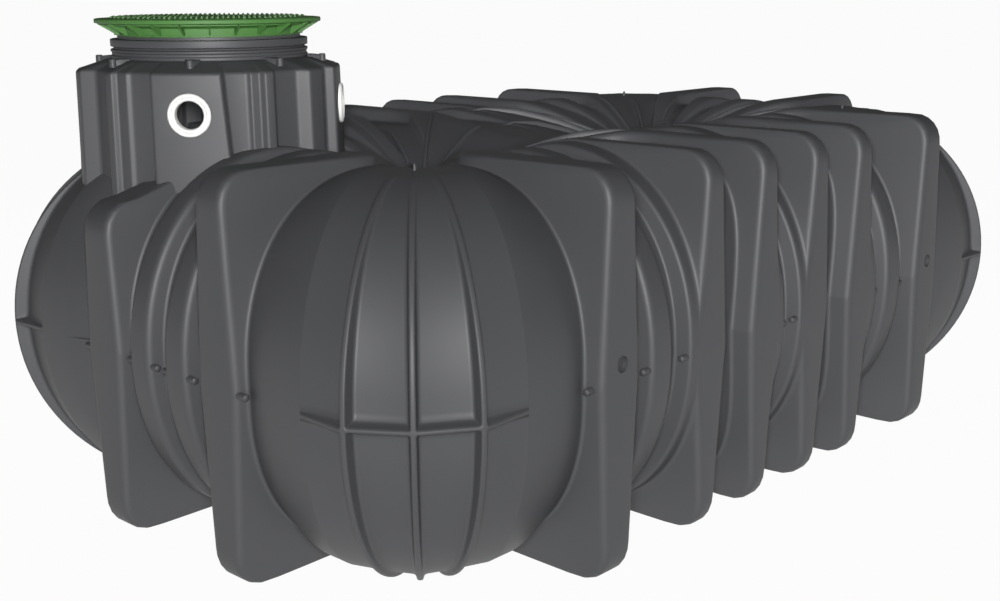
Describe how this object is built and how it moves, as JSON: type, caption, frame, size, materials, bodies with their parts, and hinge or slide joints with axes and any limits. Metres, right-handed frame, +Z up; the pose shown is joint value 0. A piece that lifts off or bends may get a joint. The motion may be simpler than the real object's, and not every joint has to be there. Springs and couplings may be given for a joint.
{
  "type": "underground water tank",
  "caption": "Low corrugated plastic tank for burying, with rounded corners, square stiffening plates, a fluted access shaft and a green walk-over cover.",
  "frame": {"origin": "middle of the rectangle the tank covers, on the floor it stands on", "axes": "+X along the long side, away from the access shaft; +Y across, towards the side the shaft is on; +Z up"},
  "size_m": [3.6144, 2.29, 1.654],
  "materials": {
    "tank_plastic": "satin charcoal moulded plastic",
    "cover_green": "satin green moulded plastic",
    "seal_white": "matt white"
  },
  "bodies": {
    "root": {"upper_shell": "tank_plastic", "lower_shell": "tank_plastic", "access_shaft": "tank_plastic", "neck_ring": "tank_plastic", "cover_frame": "cover_green", "cover_lid": "cover_green", "pipe_seal_1": "seal_white", "pipe_seal_2": "seal_white", "pipe_seal_3": "seal_white", "pipe_seal_4": "seal_white", "neck_lug_1": "tank_plastic", "neck_lug_2": "tank_plastic", "neck_lug_3": "tank_plastic", "neck_lug_4": "tank_plastic", "neck_lug_5": "tank_plastic", "neck_lug_6": "tank_plastic", "neck_lug_7": "tank_plastic", "neck_lug_8": "tank_plastic"}
  },
  "joints": []
}
